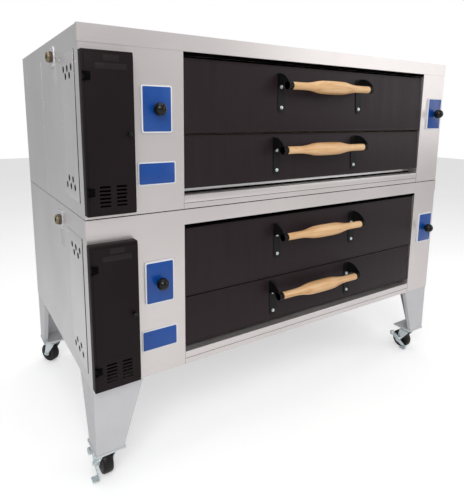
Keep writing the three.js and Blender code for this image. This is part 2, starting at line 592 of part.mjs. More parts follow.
function corner({ name, right, rear, swivel, brake }) {
  const group = new THREE.Group();
  let leg = cornerLeg();
  if (right) leg = leg.mirror([1, 0, 0]);
  if (rear) leg = leg.mirror([0, 1, 0]);
  const legMesh = mesh(`leg_${name}`, leg, 'legPaint');
  legMesh.position.set(right ? WIDTH - LEG_INSET_X : LEG_INSET_X, rear ? DEPTH - LEG_INSET_Y : LEG_INSET_Y,
    CABINET_BOTTOM);
  group.add(legMesh);
  const caster = new THREE.Group();
  caster.add(mesh(`caster_fork_${name}`, casterFork(), 'zinc'));
  caster.add(mesh(`caster_wheel_${name}`, casterWheel(), 'rubber'));
  if (brake) caster.add(mesh(`caster_brake_${name}`, casterBrake(), 'zinc'));
  caster.position.set(right ? WIDTH - CASTER_OFFSET.x : CASTER_OFFSET.x,
    rear ? DEPTH - CASTER_OFFSET.y : CASTER_OFFSET.y, 0);
  caster.rotation.z = THREE.MathUtils.degToRad(swivel);
  group.add(caster);
  return group;
}

const oven = new THREE.Group();
['bottom_deck', 'top_deck'].forEach((prefix, level) => {
  const group = deck(prefix);
  group.position.z = CABINET_BOTTOM + GAP + level * DECK_HEIGHT;
  oven.add(group);
});
CORNERS.forEach((place) => oven.add(corner(place)));

// The origin is on the floor, under the centre of the oven's whole box.
const bounds = new THREE.Box3().setFromObject(oven);
const centre = bounds.getCenter(new THREE.Vector3());
oven.position.set(-centre.x, -centre.y, -bounds.min.z);

export default oven;
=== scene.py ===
"""Looks of a double-stacked gas deck pizza oven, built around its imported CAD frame. Metres, +Z up."""
import json
import math

import bmesh
import bpy
from mathutils import Matrix, Vector


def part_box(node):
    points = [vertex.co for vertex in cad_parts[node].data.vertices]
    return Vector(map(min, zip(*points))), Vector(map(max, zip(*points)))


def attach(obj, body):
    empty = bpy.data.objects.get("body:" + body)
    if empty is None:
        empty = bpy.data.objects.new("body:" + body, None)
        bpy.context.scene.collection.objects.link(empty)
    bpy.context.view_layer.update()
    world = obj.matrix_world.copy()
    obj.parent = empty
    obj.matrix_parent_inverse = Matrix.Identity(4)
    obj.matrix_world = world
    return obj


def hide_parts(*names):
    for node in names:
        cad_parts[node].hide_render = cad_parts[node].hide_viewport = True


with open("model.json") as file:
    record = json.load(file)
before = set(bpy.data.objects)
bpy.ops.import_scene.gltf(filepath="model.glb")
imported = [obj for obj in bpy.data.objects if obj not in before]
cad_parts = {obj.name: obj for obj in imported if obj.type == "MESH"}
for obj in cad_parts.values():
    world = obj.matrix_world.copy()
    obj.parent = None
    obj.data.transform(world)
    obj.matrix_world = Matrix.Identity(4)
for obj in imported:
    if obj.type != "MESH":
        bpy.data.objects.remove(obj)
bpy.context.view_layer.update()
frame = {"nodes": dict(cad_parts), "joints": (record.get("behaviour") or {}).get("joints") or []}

MM = 0.001
GAP = 0.3 * MM
DECKS = {"bottom_deck": "bottom", "top_deck": "top"}
JOINTS = {joint["name"]: joint for joint in frame["joints"]}


# ---------------------------------------------------------------- materials
class Nodes:
    """A short way to write a node material."""

    def __init__(self, name):
        self.material = bpy.data.materials.new(name)
        self.material.use_nodes = True
        self.tree = self.material.node_tree
        self.shader = self.tree.nodes["Principled BSDF"]
        self.coordinates = self.tree.nodes.new("ShaderNodeTexCoord").outputs["Object"]

    def link(self, source, target):
        self.tree.links.new(source, target)

    def mapped(self, scale):
        node = self.tree.nodes.new("ShaderNodeMapping")
        node.inputs["Scale"].default_value = scale
        self.link(self.coordinates, node.inputs["Vector"])
        return node.outputs["Vector"]

    def noise(self, scale, detail=3.0, roughness=0.5, stretch=(1, 1, 1), distortion=0.0):
        node = self.tree.nodes.new("ShaderNodeTexNoise")
        node.inputs["Scale"].default_value = scale
        node.inputs["Detail"].default_value = detail
        node.inputs["Roughness"].default_value = roughness
        node.inputs["Distortion"].default_value = distortion
        self.link(self.mapped(stretch), node.inputs["Vector"])
        return node.outputs["Fac"]

    def cells(self, scale, stretch=(1, 1, 1)):
        node = self.tree.nodes.new("ShaderNodeTexVoronoi")
        node.inputs["Scale"].default_value = scale
        self.link(self.mapped(stretch), node.inputs["Vector"])
        return node.outputs["Distance"]

    def spread(self, value, low, high, start=0.3, end=0.7):
        node = self.tree.nodes.new("ShaderNodeMapRange")
        node.inputs["From Min"].default_value = start
        node.inputs["From Max"].default_value = end
        node.inputs["To Min"].default_value = low
        node.inputs["To Max"].default_value = high
        self.link(value, node.inputs["Value"])
        return node.outputs["Result"]

    def ramp(self, value, stops):
        node = self.tree.nodes.new("ShaderNodeValToRGB")
        elements = node.color_ramp.elements
        while len(elements) < len(stops):
            elements.new(0.5)
        for element, (position, colour) in zip(elements, stops):
            element.position = position
            element.color = (*colour, 1.0)
        self.link(value, node.inputs["Fac"])
        return node.outputs["Color"]

    def bump(self, height, strength, distance):
        node = self.tree.nodes.new("ShaderNodeBump")
        node.inputs["Strength"].default_value = strength
        node.inputs["Distance"].default_value = distance
        previous = self.shader.inputs["Normal"].links
        if previous:
            self.link(previous[0].from_socket, node.inputs["Normal"])
        self.link(height, node.inputs["Height"])
        self.link(node.outputs["Normal"], self.shader.inputs["Normal"])

    def set(self, **values):
        for name, value in values.items():
            socket = self.shader.inputs[name.replace("_", " ")]
            if isinstance(value, bpy.types.NodeSocket):
                self.link(value, socket)
            else:
                socket.default_value = value


def brushed_metal(name, dark, light, roughness, stretch, grain=0.05):
    n = Nodes(name)
    streaks = n.noise(60, 6, 0.7, stretch)
    clouds = n.noise(2.2, 4, 0.55)
    n.set(Metallic=0.85, Base_Color=n.ramp(clouds, [(0.3, dark), (0.7, light)]))
    n.set(Roughness=n.spread(streaks, roughness - 0.03, roughness + 0.05))
    n.bump(streaks, grain, 0.00015)
    n.bump(clouds, 0.05, 0.004)
    return n.material


def paint(name, dark, light, roughness, peel_scale=900, peel=0.12, streak=(1, 1, 1), metallic=0.0, coat=0.0,
          shine=0.5):
    n = Nodes(name)
    tone = n.noise(5, 4, 0.6, streak)
    peel_noise = n.noise(peel_scale, 2)
    n.set(Metallic=metallic, Coat_Weight=coat, Coat_Roughness=0.15, Specular_IOR_Level=shine)
    n.set(Base_Color=n.ramp(tone, [(0.3, dark), (0.7, light)]))
    n.set(Roughness=n.spread(tone, roughness - 0.06, roughness + 0.08))
    n.bump(peel_noise, peel, 0.0002)
    return n.material


def zinc_plate():
    n = Nodes("zinc")
    spangle = n.cells(160)
    fine = n.noise(700, 3)
    n.set(Metallic=0.9, Base_Color=n.ramp(spangle, [(0.0, (0.60, 0.66, 0.69)), (0.8, (0.84, 0.90, 0.92))]))
    n.set(Roughness=n.spread(spangle, 0.24, 0.42, 0.0, 0.8))
    n.bump(fine, 0.08, 0.0002)
    return n.material


def turned_wood():
    n = Nodes("grip_wood")
    figure = n.noise(14, 6, 0.6, (0.35, 4, 4), 0.6)
    pores = n.noise(160, 3, 0.7, (0.12, 4, 4))
    n.set(Base_Color=n.ramp(figure, [
        (0.28, (0.50, 0.25, 0.09)), (0.45, (0.72, 0.42, 0.19)), (0.7, (0.86, 0.57, 0.31))]))
    n.set(Roughness=n.spread(pores, 0.38, 0.6), Coat_Weight=0.25, Coat_Roughness=0.25)
    n.bump(pores, 0.25, 0.0003)
    return n.material


def ceramic():
    n = Nodes("hearth")
    speckle = n.noise(220, 5, 0.75)
    stains = n.noise(4, 5, 0.6)
    n.set(Base_Color=n.ramp(stains, [
        (0.25, (0.28, 0.21, 0.14)), (0.5, (0.5, 0.41, 0.3)), (0.8, (0.62, 0.54, 0.42))]))
    n.set(Roughness=n.spread(speckle, 0.8, 0.95))
    n.bump(speckle, 0.5, 0.0008)
    return n.material


ALONG_X = (0.25, 8, 8)
UPRIGHT = (8, 8, 0.3)
MATERIALS = {
    "fascia_steel": brushed_metal("fascia_steel", (0.76, 0.715, 0.705), (0.83, 0.785, 0.775), 0.36, ALONG_X),
    "side_steel": brushed_metal("side_steel", (0.70, 0.69, 0.70), (0.78, 0.77, 0.78), 0.42, UPRIGHT),
    "vent_steel": brushed_metal("vent_steel", (0.74, 0.73, 0.735), (0.82, 0.81, 0.815), 0.38, UPRIGHT),
    # Lighter than the other steel: the sill strip's own steel, with its colour raised to paint in the bright
    # reflection it shows in the shade under the door.
    "sill_steel_painted_sheen": brushed_metal("sill_steel_painted_sheen", (0.86, 0.86, 0.87), (0.93, 0.93, 0.94), 0.2, ALONG_X),
    "liner_steel": brushed_metal("liner_steel", (0.34, 0.32, 0.30), (0.52, 0.50, 0.48), 0.5, (1, 8, 8), 0.2),
    "door_black": paint("door_black", (0.0190, 0.0115, 0.0140), (0.0225, 0.0145, 0.0175), 0.42, 500, 0.06,
                        (6, 6, 0.3), shine=0.2),
    "cover_black": paint("cover_black", (0.0075, 0.0038, 0.0046), (0.0105, 0.0058, 0.0068), 0.5, 1100, 0.35,
                         shine=0.18),
    "cover_label": paint("cover_label", (0.0095, 0.0056, 0.0064), (0.0120, 0.0078, 0.0088), 0.5, 700, 0.1,
                         shine=0.3),
    "bracket_black": paint("bracket_black", (0.003, 0.003, 0.003), (0.007, 0.007, 0.0065), 0.45, 700, 0.1,
                           shine=0.25),
    "panel_blue": paint("panel_blue", (0.001, 0.055, 0.29), (0.002, 0.075, 0.35), 0.32, 600, 0.06, coat=0.15),
    "panel_white": paint("panel_white", (0.72, 0.73, 0.76), (0.84, 0.85, 0.87), 0.4, 600, 0.05),
    "label": paint("label", (0.50, 0.51, 0.52), (0.58, 0.59, 0.60), 0.55, 800, 0.1),
    "knob_black": paint("knob_black", (0.0016, 0.0015, 0.0015), (0.0042, 0.0040, 0.0040), 0.24, 300, 0.03,
                        coat=0.12, shine=0.3),
    "grip_wood": turned_wood(),
    "hearth": ceramic(),
    "burner_iron": paint("burner_iron", (0.03, 0.026, 0.022), (0.1, 0.085, 0.075), 0.72, 260, 0.6,
                         metallic=0.5),
    "gas_brass": paint("gas_brass", (0.22, 0.18, 0.10), (0.38, 0.31, 0.18), 0.36, 500, 0.15, metallic=0.9),
    "gas_red": paint("gas_red", (0.055, 0.035, 0.026), (0.095, 0.062, 0.045), 0.6, 400, 0.3),
    "leg_paint": paint("leg_paint", (0.60, 0.60, 0.615), (0.68, 0.68, 0.695), 0.42, 800, 0.2, metallic=0.35),
    "zinc": zinc_plate(),
    "wheel_rubber": paint("wheel_rubber", (0.0030, 0.0024, 0.0022), (0.0080, 0.0066, 0.0060), 0.38, 420, 0.15,
                          shine=0.4),
    # Near-black without shine: the lintel strip's own black, and painted shade in the gaps, seams, holes and
    # slots that light does not reach.
    "black_and_painted_shade": paint("black_and_painted_shade", (0.0005, 0.0005, 0.0005), (0.0015, 0.0014, 0.0014), 0.85, 500, 0.1,
                      shine=0.0),
    "hinge_black": paint("hinge_black", (0.0008, 0.0008, 0.0008), (0.0022, 0.002, 0.002), 0.7, 900, 0.15,
                         shine=0.06),
}


# ---------------------------------------------------------------- shapes
def rounded_box(low, high, radius=0.0, segments=3):
    bm = bmesh.new()
    low, high = Vector(low), Vector(high)
    bmesh.ops.create_cube(bm, size=1.0, matrix=Matrix.LocRotScale((low + high) / 2, None, high - low))
    if radius:
        bmesh.ops.bevel(bm, geom=bm.edges[:], offset=radius, segments=segments, profile=0.5,
                        affect="EDGES", clamp_overlap=True)
    return bm


def lathe(profile, segments, closed=False):
    """Turned about +X: pairs of distance along and radius."""
    bm = bmesh.new()
    rings = []
    for along, radius in profile:
        if radius < 1e-7:
            rings.append([bm.verts.new((along, 0, 0))])
            continue
        rings.append([bm.verts.new((along, radius * math.cos(a), radius * math.sin(a)))
                      for a in (2 * math.pi * k / segments for k in range(segments))])
    pairs = list(zip(rings, rings[1:]))
    if closed:
        pairs.append((rings[-1], rings[0]))
    for a, b in pairs:
        for k in range(segments):
            following = (k + 1) % segments
            corners = [a[k % len(a)], b[k % len(b)], b[following % len(b)], a[following % len(a)]]
            bm.faces.new(list(dict.fromkeys(corners)))
    return bm


PLACE = {
    "xy": lambda u, v, w: (u, v, w),
    "xz": lambda u, v, w: (u, w, v),
    "yz": lambda u, v, w: (w, u, v),
}


def prism(outline, start, end, plane, bevel, segments=2):
    """An outline in a plane, pulled along the third axis from start to end, with bevelled rims."""
    bm = bmesh.new()
    place = PLACE[plane]
    ends = [[bm.verts.new(place(u, v, w)) for u, v in outline] for w in (start, end)]
    caps = [bm.faces.new(ring) for ring in ends]
    for k in range(len(outline)):
        following = (k + 1) % len(outline)
        bm.faces.new((ends[0][k], ends[0][following], ends[1][following], ends[1][k]))
    rims = list({edge for cap in caps for edge in cap.edges})
    bmesh.ops.bevel(bm, geom=rims, offset=bevel, segments=segments, profile=0.5, affect="EDGES",
                    clamp_overlap=True)
    return bm


def arc(centre, radius, start, end, steps):
    return [(centre[0] + radius * math.cos(a), centre[1] + radius * math.sin(a))
            for a in (start + (end - start) * k / steps for k in range(steps + 1))]


def rounded_outline(u0, u1, v0, v1, radius, steps=8):
    quarter = math.pi / 2
    return (arc((u1 - radius, v0 + radius), radius, -quarter, 0, steps)
            + arc((u1 - radius, v1 - radius), radius, 0, quarter, steps)
            + arc((u0 + radius, v1 - radius), radius, quarter, 2 * quarter, steps)
            + arc((u0 + radius, v0 + radius), radius, 2 * quarter, 3 * quarter, steps))


def bezier(p0, p1, p2, p3, steps=14):
    points = []
    for k in range(steps + 1):
        t = k / steps
        s = 1 - t
        weights = (s ** 3, 3 * s * s * t, 3 * s * t * t, t ** 3)
        points.append(tuple(sum(w * p[i] for w, p in zip(weights, (p0, p1, p2, p3))) for i in (0, 1)))
    return points


def merge(*parts):
    whole = bmesh.new()
    for part in parts:
        mesh = bpy.data.meshes.new("part")
        part.to_mesh(mesh)
        part.free()
        whole.from_mesh(mesh)
        bpy.data.meshes.remove(mesh)
    return whole


def temporary(bm):
    bmesh.ops.recalc_face_normals(bm, faces=bm.faces[:])
    mesh = bpy.data.meshes.new("temporary")
    bm.to_mesh(mesh)
    bm.free()
    obj = bpy.data.objects.new("temporary", mesh)
    bpy.context.scene.collection.objects.link(obj)
    return obj


def carve(bm, *cutters):
    """bm with each cutter taken away."""
    base = temporary(bm)
    tools = [temporary(cutter) for cutter in cutters]
    for tool in tools:
        modifier = base.modifiers.new("cut", "BOOLEAN")
        modifier.operation = "DIFFERENCE"
        modifier.solver = "EXACT"
        modifier.object = tool
    bpy.context.view_layer.update()
    result = bmesh.new()
    result.from_object(base, bpy.context.evaluated_depsgraph_get())
    for obj in [base, *tools]:
        mesh = obj.data
        bpy.data.objects.remove(obj)
        bpy.data.meshes.remove(mesh)
    return result


def moved(bm, matrix):
    bm.transform(matrix)
    return bm


def pointing(direction, origin):
    """The matrix that turns +X to a direction and puts the origin at a point."""
    turn = Vector((1, 0, 0)).rotation_difference(Vector(direction)).to_matrix().to_4x4()
    return Matrix.Translation(Vector(origin)) @ turn


def in_metres(points):
    return [(a * MM, b * MM) for a, b in points]


def rod(a, b, radius, segments=32, bevel=0.4 * MM):
    """A round bar between two points, with bevelled ends."""
    a, b = Vector(a), Vector(b)
    length = (b - a).length
    profile = [(0, 0), (0, radius - bevel), (bevel, radius), (length - bevel, radius),
               (length, radius - bevel), (length, 0)]
    return moved(lathe(profile, segments), pointing(b - a, a))


def screw_head(point, direction, radius, height):
    profile = [(0, 0), (0, radius), (0.3 * height, radius), (0.75 * height, 0.8 * radius),
               (height, 0.45 * radius), (0.5 * height, 0.3 * radius), (0.5 * height, 0)]
    return moved(lathe(profile, 20), pointing(direction, point))


def hexagon(radius):
    return [(radius * math.cos(a), radius * math.sin(a)) for a in (math.pi / 3 * k for k in range(6))]


def hex_bolt(point, direction, across, height):
    """A bolt head on its washer, seated at a point."""
    washer_height, washer_radius = 1.2 * MM, 0.78 * across
    washer = lathe([(0, 0), (0, washer_radius), (washer_height, washer_radius), (washer_height, 0)], 28)
    head = prism(hexagon(0.577 * across), washer_height, height, "yz", 0.8 * MM)
    return moved(merge(washer, head), pointing(direction, point))


SMOOTH_BELOW = math.radians(35)


def add(name, bm, material, body, replaces=()):
    """A new piece: its material, the body it rides on and the CAD nodes it stands for."""
    bmesh.ops.recalc_face_normals(bm, faces=bm.faces[:])
    mesh = bpy.data.meshes.new(name)
    bm.to_mesh(mesh)
    bm.free()
    mesh.shade_smooth()
    mesh.set_sharp_from_angle(angle=SMOOTH_BELOW)
    mesh.materials.append(MATERIALS[material])
    obj = bpy.data.objects.new(name, mesh)
    bpy.context.scene.collection.objects.link(obj)
    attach(obj, body)
    if replaces:
        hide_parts(*replaces)
    return obj


def dress(node, material, bevel):
    """A CAD node that stays: its material, and softened edges."""
    obj = frame["nodes"][node]
    obj.data.materials.clear()
    obj.data.materials.append(MATERIALS[material])
    modifier = obj.modifiers.new("edges", "BEVEL")
    modifier.width = bevel
    modifier.segments = 2
    modifier.limit_method = "ANGLE"
    modifier.angle_limit = math.radians(50)
    modifier.use_clamp_overlap = True


# ---------------------------------------------------------------- one deck
class Deck:
    """Places points in a deck: millimetres from its left side, its front and its bottom."""

    def __init__(self, name):
        self.name = name
        self.short = DECKS[name]
        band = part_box(f"{name}_top_band")[0]
        self.origin = Vector((band.x, band.y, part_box(f"{name}_casing")[0].z - GAP))

    def at(self, x, y, z):
        return self.origin + Vector((x, y, z)) * MM

    def block(self, x0, x1, y0, y1, z0, z1, radius=0.0, segments=3):
        return rounded_box(self.at(x0, y0, z0), self.at(x1, y1, z1), radius * MM, segments)

    def node(self, part):
        return f"{self.name}_{part}"


# Deck sizes in millimetres, in the deck's own frame.
WIDTH = 1981
OPENING = {"left": 372, "right": 1796, "bottom": 54, "top": 577}
SIDE_SEAM = (611, 631)
SEAM_SCREWS = range(40, 580, 128)
FLUE = {"half_width": 147, "bottom": 493, "top": 557, "slats": 3}
DIAL = {"x": 85, "z": 325}
GAS_PIPE = {"inlet": (375, 568), "riser": (100, 150), "burner": 120, "radius": 13}
BURNER_TUBES = {"first": 500, "pitch": 290, "count": 5, "radius": 22}
BURNER_PORTS = {"first": 60, "pitch": 28, "count": 22}


def cabinet_sheets(deck):
    dress(deck.node("casing"), "side_steel", 1.2 * MM)
    dress(deck.node("fascia"), "fascia_steel", 0.5 * MM)
    dress(deck.node("top_band"), "fascia_steel", 0.6 * MM)
    dress(deck.node("baking_chamber"), "liner_steel", 0.4 * MM)
    dress(deck.node("hearth_stone"), "hearth", 3 * MM)
    seams_and_screws(deck)
    left, right = OPENING["left"] + 1, OPENING["right"] - 1
    bottom, top = OPENING["bottom"], OPENING["top"]
    lintel = deck.block(left, right, 3.2, 3.9, top - 14, top - 0.2, 0.2)
    add(deck.node("lintel_strip"), lintel, "black_and_painted_shade", "cabinet")
    # The sill strip's steel is lighter than the fascia's steel, as a painted reflection.
    sill = deck.block(left + 1, right - 59, 48.6, 49.7, bottom + 8, bottom + 22, 0.5)
    add(deck.node("sill_strip"), sill, "sill_steel_painted_sheen", "cabinet")
    # A near-black strip painted as the shade in the gap under the sill strip.
    gap_shade = deck.block(left + 1, right - 5, 48.9, 49.8, bottom + 0.5, bottom + 7.5, 0.2)
    add(deck.node("sill_gap_shade"), gap_shade, "black_and_painted_shade", "cabinet")
    fold = deck.block(left, right, 1.0, 2.4, 26, bottom - 0.5, 0.9)
    add(deck.node("rail_fold"), fold, "fascia_steel", "cabinet")
    # Thin near-black strips painted as the shade in the seams: under the rail's fold, beside the jambs, and
    # on the top deck along the joint with the deck below, across the front and down the left side.
    seam_shades = [deck.block(left, right, 1.7, 2.2, 24, 25.6, 0.2),
             deck.block(OPENING["right"] + 0.4, OPENING["right"] + 1.8, 1.7, 2.2, 2, bottom - 1, 0.2),
             deck.block(OPENING["left"] - 1.2, OPENING["left"] - 0.4, 1.8, 2.2, 2, bottom - 1, 0.15)]
    if deck.short == "top":
        seam_shades.append(deck.block(2, WIDTH - 2, 1.5, 2.2, 0.4, 3.0, 0.2))
        seam_shades.append(deck.block(1.5, 2.2, 4, 1085, 0.4, 1.5, 0.2))
    add(deck.node("rail_seam_shades"), merge(*seam_shades), "black_and_painted_shade", "cabinet")


def seams_and_screws(deck):
    """Lapped sheet edges and the screws that hold them, on both sides and on the back."""
    back = (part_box(deck.node("casing"))[1].y - deck.origin.y) / MM
    laps = [deck.block(x, x + 0.7, *SIDE_SEAM, 4, 574, 0.1) for x in (1.7, WIDTH - 2.4)]
    laps += [deck.block(x, x + 22, back - 0.3, back + 0.4, 4, 574, 0.1) for x in (520, WIDTH - 542)]
    add(deck.node("sheet_laps"), merge(*laps), "side_steel", "cabinet")
    seam = sum(SIDE_SEAM) / 2
    corners = [(y, z) for y in (38, 1070) for z in (100, 520)]
    heads = []
    for x, outward in ((1.7, (-1, 0, 0)), (WIDTH - 1.7, (1, 0, 0))):
        heads += [screw_head(deck.at(x, seam, z), outward, 3.5 * MM, 1.6 * MM) for z in SEAM_SCREWS]
        heads += [screw_head(deck.at(x, y, z), outward, 4 * MM, 1.8 * MM) for y, z in corners]
    columns = [(x, z) for x in (30, 531, WIDTH - 531, WIDTH - 30) for z in SEAM_SCREWS]
    rows = [(x, z) for x in range(197, 1900, 167) for z in (14, 560)]
    heads += [screw_head(deck.at(x, back, z), (0, 1, 0), 4 * MM, 1.8 * MM) for x, z in columns + rows]
    add(deck.node("sheet_screws"), merge(*heads), "zinc", "cabinet")


def flue_slats(deck):
    """Sloping slats across the flue outlet, which overlap so that no straight line leads through it."""
    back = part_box(deck.node("baking_chamber"))[1].y
    front, rear, sheet = back - 26 * MM, back - 4 * MM, 1.5 * MM
    centre, half_width = deck.at(WIDTH / 2, 0, 0).x, FLUE["half_width"] * MM
    start, end = centre - half_width, centre + half_width
    pitch = (FLUE["top"] - FLUE["bottom"]) / FLUE["slats"]
    slats = []
    for k in range(FLUE["slats"]):
        foot = deck.at(0, 0, FLUE["bottom"] + k * pitch).z
        head = foot + (pitch - 1) * MM
        outline = [(front, foot), (front + sheet, foot), (rear, head), (rear - sheet, head)]
        slats.append(prism(outline, start, end, "yz", 0.3 * MM))
        lip_top = min(head + 4 * MM, deck.at(0, 0, FLUE["top"]).z)
        slats.append(rounded_box((start, rear - sheet, head - sheet), (end, rear, lip_top), 0.3 * MM))
    add(deck.node("flue_slats"), merge(*slats), "liner_steel", "cabinet")


def vent_panel(deck):
    low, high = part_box(deck.node("vent_panel"))
    panel = rounded_box(low, high, 0.15 * MM, 2)
    rows = ((high.z - 53 * MM, (34, 88, 142)), (high.z - 78 * MM, (61, 115)),
            (low.z + 72 * MM, (78, 132)), (low.z + 45 * MM, (54, 108, 162)))
    holes = [rod((low.x - 5 * MM, low.y + y * MM, z), (high.x + 5 * MM, low.y + y * MM, z), 12.5 * MM)
             for z, offsets in rows for y in offsets]
    add(deck.node("vent_panel_sheet"), carve(panel, merge(*holes)), "vent_steel", "cabinet",
        [deck.node("vent_panel")])
    inset = 8 * MM
    heads = [screw_head((low.x, y, low.z + share * (high.z - low.z)), (-1, 0, 0), 3.4 * MM, 1.5 * MM)
             for y in (low.y + inset, high.y - inset) for share in (0.03, 0.5, 0.97)]
    add(deck.node("vent_screws"), merge(*heads), "zinc", "cabinet")
    # Near-black sheets painted as shade: one behind the vent holes, one as the shadow in the slot along the
    # panel's front edge.
    painted_shade = [deck.block(2.4, 3.2, 66, 264, 56, 556), deck.block(1.2, 2.1, 57, 61.5, 50, 562, 0.3)]
    add(deck.node("vent_painted_shade"), merge(*painted_shade), "black_and_painted_shade", "cabinet")


def burner(deck):
    low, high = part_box(deck.node("burner"))
    z = low.z + 73.7 * MM
    y = deck.at(0, GAS_PIPE["riser"][1], 0).y
    first = deck.at(BURNER_TUBES["first"], 0, 0).x
    columns = [first + k * BURNER_TUBES["pitch"] * MM for k in range(BURNER_TUBES["count"])]
    tubes = [rod((x, y, z), (x, high.y, z), BURNER_TUBES["radius"] * MM, 36, 3 * MM) for x in columns]
    manifold = rod((low.x, y, z), (high.x, y, z), 15 * MM, 32, 2 * MM)
    rows = [y + (BURNER_PORTS["first"] + BURNER_PORTS["pitch"] * k) * MM
            for k in range(BURNER_PORTS["count"])]
    ports = [rod((x, row, z + 20 * MM), (x, row, z + 23.5 * MM), 3 * MM, 10, 0.3 * MM)
             for x in columns for row in rows]
    last = columns[-1]
    near, far = deck.at(0, 830, 0).y, deck.at(0, 850, 0).y
    rail = rounded_box((first - 60 * MM, near, z - 40 * MM), (last + 60 * MM, far, z - 16 * MM), 1.5 * MM)
    feet = [rounded_box((x, near, low.z), (x + 20 * MM, far, z - 30 * MM), 1 * MM)
            for x in (first - 55 * MM, last + 35 * MM)]
    add(deck.node("burner_pipes"), merge(*tubes, manifold, *ports, rail, *feet), "burner_iron", "cabinet",
        replaces=[deck.node("burner")])


def gas_train(deck):
    """The pipe from the inlet union to the burner, its regulator, and the valve behind the dial."""
    at = deck.at
    y, z = GAS_PIPE["inlet"]
    x, riser_y = GAS_PIPE["riser"]
    burner_z, radius = GAS_PIPE["burner"], GAS_PIPE["radius"]
    runs = [((-12, y, z), (x, y, z)),
            ((x, riser_y, z), (x, y + radius, z)),
            ((x, riser_y, burner_z - radius), (x, riser_y, z + radius)),
            ((x, riser_y, burner_z), (229, riser_y, burner_z))]
    pipes = [rod(at(*start), at(*end), radius * MM) for start, end in runs]
    regulator = deck.block(x - 36, x + 36, riser_y - 34, riser_y + 34, 400, 500, 5)
    valve = deck.block(DIAL["x"] - 40, DIAL["x"] + 40, 70, 150, DIAL["z"] - 45, DIAL["z"] + 45, 4)
    spindle = rod(at(DIAL["x"], 22, DIAL["z"]), at(DIAL["x"], 72, DIAL["z"]), 4 * MM)
    add(deck.node("gas_pipes"), merge(*pipes, regulator, valve, spindle), "gas_brass", "cabinet",
        replaces=[deck.node("gas_train")])
    inlet_union(deck)


def inlet_union(deck):
    at = deck.at
    y, z = GAS_PIPE["inlet"]
    wall = Matrix.Translation(at(0, y, z))
    ring = lathe(in_metres([(-21, 10), (-21, 17), (-19, 19), (-12, 19), (-12, 10)]), 40, True)
    add(deck.node("union_ring"), moved(ring, wall), "gas_brass", "cabinet")
    nut = prism(hexagon(22.5 * MM), -12 * MM, -3 * MM, "yz", 1 * MM)
    add(deck.node("union_nut"), moved(nut, wall), "gas_red", "cabinet")
    low, high = at(-1.3, y - 30, z - 38), at(1.8, y + 30, z + 38)
    flange = prism(rounded_outline(low.y, high.y, low.z, high.z, 6 * MM), low.x, high.x, "yz", 0.15 * MM)
    add(deck.node("union_flange"), flange, "vent_steel", "cabinet")
    heads = [screw_head(at(-1.2, y + across, z + up), (-1, 0, 0), 4 * MM, 2 * MM)
             for across in (-18, 18) for up in (-30, 30)]
    add(deck.node("union_screws"), merge(*heads), "zinc", "cabinet")
    # A near-black plug painted as the shade inside the union's bore.
    bore = rod(at(-21.5, y, z), at(-11.5, y, z), 9.6 * MM)
    add(deck.node("union_bore_shade"), bore, "black_and_painted_shade", "cabinet")


def side_labels(deck):
    blank = deck.block(1.6, 2.2, 324, 395, 462, 532, 0.1)
    add(deck.node("blank_label_front"), blank, "label", "cabinet")
    if deck.short == "top":
        rear = deck.block(1.6, 2.2, 985, 1045, 478, 548, 0.1)
        add(deck.node("blank_label_rear"), rear, "label", "cabinet")


def thermostat_dial(deck):
    body = f"{deck.short}_thermostat"
    x, z = DIAL["x"], DIAL["z"]
    profile = [(12, 0), (12, 18), (14, 21), (32, 23), (34, 32), (37, 32), (38, 31), (38, 5), (20, 5), (20, 0)]
    knob = moved(lathe(in_metres(profile), 48), pointing((0, 1, 0), deck.at(x, 0, z)))
    bar = deck.block(x - 5, x + 5, 8, 20, z - 22, z + 22, 3)
    add(deck.node("dial_knob"), merge(knob, bar), "knob_black", body, replaces=[deck.node("thermostat_dial")])
    marks = []
    for k in range(11):
        angle = math.radians(-135 + 27 * k)
        turn = Matrix.Translation(deck.at(x, 33.8, z)) @ Matrix.Rotation(angle, 4, "Y")
        marks.append(moved(rounded_box((-0.6 * MM, -0.4 * MM, 25 * MM), (0.6 * MM, 0.1 * MM, 30 * MM)), turn))
    add(deck.node("dial_marks"), merge(*marks), "panel_white", body)


# ---------------------------------------------------------------- controls
COVER_DEPTH = 32.2
DOOR_FRONT = -35
HINGE = {"x": 9, "y": -39, "z": (100, 471), "radius": 3.6}
LATCH = {"x": 148, "z": 288}
SLOTS = {"columns": (61, 118.5), "half": 18.5, "bottom": 48, "height": 6.5, "pitch": 12.8, "rows": 6}


def control_cover(deck):
    x0, x1, z0, z1 = 0, 170, 18, 553
    shell = deck.block(x0, x1, -COVER_DEPTH, 1.7, z0, z1, 3, 4)
    hollow = deck.block(x0 + 2, x1 - 2, -COVER_DEPTH + 2, 8, z0 + 2, z1 - 2)
    mouth = deck.block(x0 + 14, x1 - 14, -COVER_DEPTH - 5, -COVER_DEPTH + 5, z0 + 14, z1 - 14)
    x, y = HINGE["x"], HINGE["y"]
    pins = [rod(deck.at(x, y, z - 13), deck.at(x, y, z + 13), 1.6 * MM, 16) for z in HINGE["z"]]
    add(deck.node("cover_shell"), merge(carve(shell, hollow, mouth), *pins), "cover_black", "cabinet",
        replaces=[deck.node("control_cover")])
    knuckles = []
    for z in HINGE["z"]:
        for low, high in ((z - 14, z - 9.3), (z + 9.3, z + 14)):
            knuckles.append(rod(deck.at(x, y, low), deck.at(x, y, high), HINGE["radius"] * MM, 24))
            knuckles.append(deck.block(0.4, x - 0.4, y - HINGE["radius"], -COVER_DEPTH + 0.5, low, high, 0.8))
    add(deck.node("cover_knuckles"), merge(*knuckles), "hinge_black", "cabinet")


